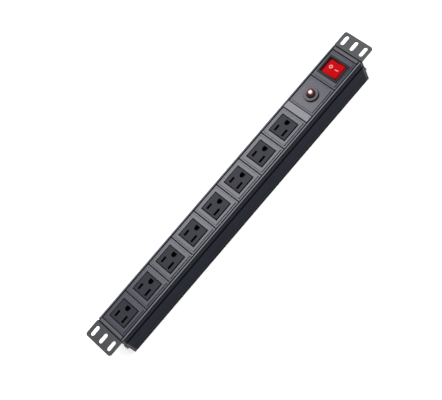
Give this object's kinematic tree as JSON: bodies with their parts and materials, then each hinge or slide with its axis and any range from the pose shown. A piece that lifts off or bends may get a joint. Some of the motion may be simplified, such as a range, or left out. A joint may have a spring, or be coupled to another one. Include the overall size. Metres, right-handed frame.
{
  "type": "rack power strip",
  "caption": "Slim rack power strip: grounded outlets in a row with a rocker switch and reset breaker, in a channel housing with slotted rack ears.",
  "frame": {"origin": "middle of the flat back face, which the strip lies on", "axes": "+X along the strip towards the switch, +Y across it, +Z out of the outlets' side"},
  "size_m": [0.4826, 0.0444, 0.0581],
  "materials": {
    "housing_coat": "black anodised or satin powder-coated aluminium extrusion",
    "cap_plastic": "moulded nylon, satin",
    "bracket_coat": "satin black powder coat on folded steel",
    "screw_steel": "black zinc plated steel",
    "face_plastic": "semi-gloss moulded ABS",
    "insert_plastic": "fine spark-textured nylon",
    "shell_plastic": "glass-filled nylon",
    "contact_brass": "stamped brass",
    "bar_copper": "bare copper bar",
    "filler_plastic": "semi-gloss moulded ABS",
    "switch_plastic": "black nylon, semi-gloss",
    "rocker_red": "translucent red polycarbonate",
    "pin_steel": "bright steel",
    "lamp_glass": "clear neon lamp glass",
    "breaker_plastic": "black phenolic",
    "collar_plastic": "gloss black nylon nut",
    "button_red": "dark red gloss button",
    "grommet_rubber": "soft black rubber",
    "liner_board": "grey insulating board",
    "wire_sleeve": "black PVC insulation",
    "wire_green": "green PVC insulation",
    "sleeve_vinyl": "red vinyl sleeve"
  },
  "bodies": {
    "chassis": {"housing_channel": "housing_coat", "end_cap_left": "cap_plastic", "end_cap_right": "cap_plastic", "rack_bracket_left": "bracket_coat", "rack_bracket_right": "bracket_coat", "bracket_screws": "screw_steel", "earth_screw": "screw_steel", "outlet_frame_1": "face_plastic", "outlet_insert_1": "insert_plastic", "outlet_shell_1": "shell_plastic", "outlet_frame_2": "face_plastic", "outlet_insert_2": "insert_plastic", "outlet_shell_2": "shell_plastic", "outlet_frame_3": "face_plastic", "outlet_insert_3": "insert_plastic", "outlet_shell_3": "shell_plastic", "outlet_frame_4": "face_plastic", "outlet_insert_4": "insert_plastic", "outlet_shell_4": "shell_plastic", "outlet_frame_5": "face_plastic", "outlet_insert_5": "insert_plastic", "outlet_shell_5": "shell_plastic", "outlet_frame_6": "face_plastic", "outlet_insert_6": "insert_plastic", "outlet_shell_6": "shell_plastic", "outlet_frame_7": "face_plastic", "outlet_insert_7": "insert_plastic", "outlet_shell_7": "shell_plastic", "outlet_frame_8": "face_plastic", "outlet_insert_8": "insert_plastic", "outlet_shell_8": "shell_plastic", "line_contacts": "contact_brass", "neutral_contacts": "contact_brass", "earth_contacts": "contact_brass", "switch_terminals": "contact_brass", "breaker_terminals": "contact_brass", "earth_lug": "contact_brass", "breaker_bimetal": "contact_brass", "line_busbar": "bar_copper", "neutral_busbar": "bar_copper", "earth_busbar": "bar_copper", "filler_strip": "filler_plastic", "switch_plate": "face_plastic", "breaker_plate": "face_plastic", "switch_case": "switch_plastic", "rocker_pin": "pin_steel", "breaker_spring": "pin_steel", "switch_lamp": "lamp_glass", "breaker_case": "breaker_plastic", "breaker_collar": "collar_plastic", "cord_grommet": "grommet_rubber", "insulating_liner": "liner_board", "power_wires": "wire_sleeve", "earth_wire": "wire_green", "blade_sleeves": "sleeve_vinyl"},
    "rocker": {"switch_rocker": "rocker_red", "rocker_plunger": "pin_steel"},
    "lever": {"contact_lever": "contact_brass"},
    "reset_button": {"breaker_button": "button_red"}
  },
  "joints": [
    {"name": "rocker_tilt", "type": "hinge", "parent": "chassis", "child": "rocker", "pos_m": [0.1924, 0, 0.0443], "axis": [1, 0, 0], "range_deg": [0, 16]},
    {"name": "lever_tilt", "type": "hinge", "parent": "chassis", "child": "lever", "pos_m": [0.1924, 0, 0.0307], "axis": [1, 0, 0], "range_deg": [-19.2, 0]},
    {"name": "reset_press", "type": "slide", "parent": "chassis", "child": "reset_button", "axis": [0, 0, 1], "range_m": [-0.0016, 0], "stiffness_N_per_m": 300, "springref_m": 0.002, "deforming": ["breaker_spring"]}
  ],
  "couplings": [
    {"joint": "lever_tilt", "follows": "rocker_tilt", "ratio": -1.2}
  ]
}
